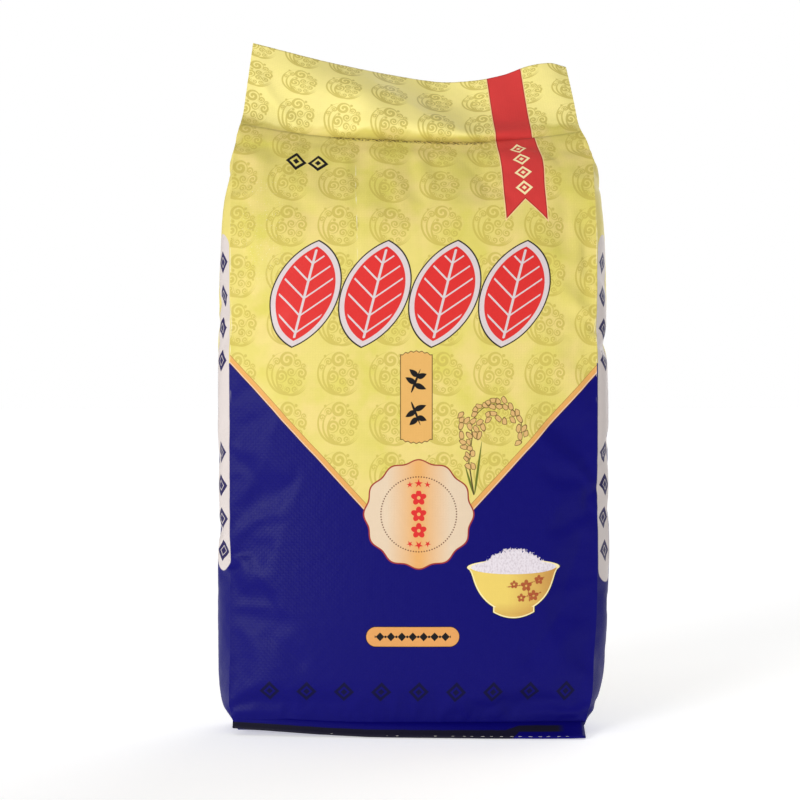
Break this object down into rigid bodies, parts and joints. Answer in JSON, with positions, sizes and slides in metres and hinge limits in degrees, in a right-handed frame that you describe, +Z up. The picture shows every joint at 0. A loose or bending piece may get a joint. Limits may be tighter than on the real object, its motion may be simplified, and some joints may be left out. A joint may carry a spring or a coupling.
{
  "type": "rice sack",
  "caption": "Filled rice sack of printed woven plastic, standing on its flat bottom, with tucked side gussets, a folded bottom hem and an empty mouth pressed flat above a crease.",
  "frame": {"origin": "middle of the flat bottom, on the surface that the sack stands on", "axes": "+Z up along the sack's height, +X to the right as seen from the front, -Y out of the front panel"},
  "size_m": [0.3475, 0.151, 0.6275],
  "materials": {
    "printed_film": "clear film laminated over printed woven plastic, soft shine, yellow upper field and deep blue lower field",
    "bare_weave": "unprinted woven plastic tapes, seen inside the mouth and at the cut edges",
    "sewing_thread": "matt twisted thread of the bottom seam"
  },
  "bodies": {
    "root": {"sack": "printed_film"}
  },
  "joints": []
}
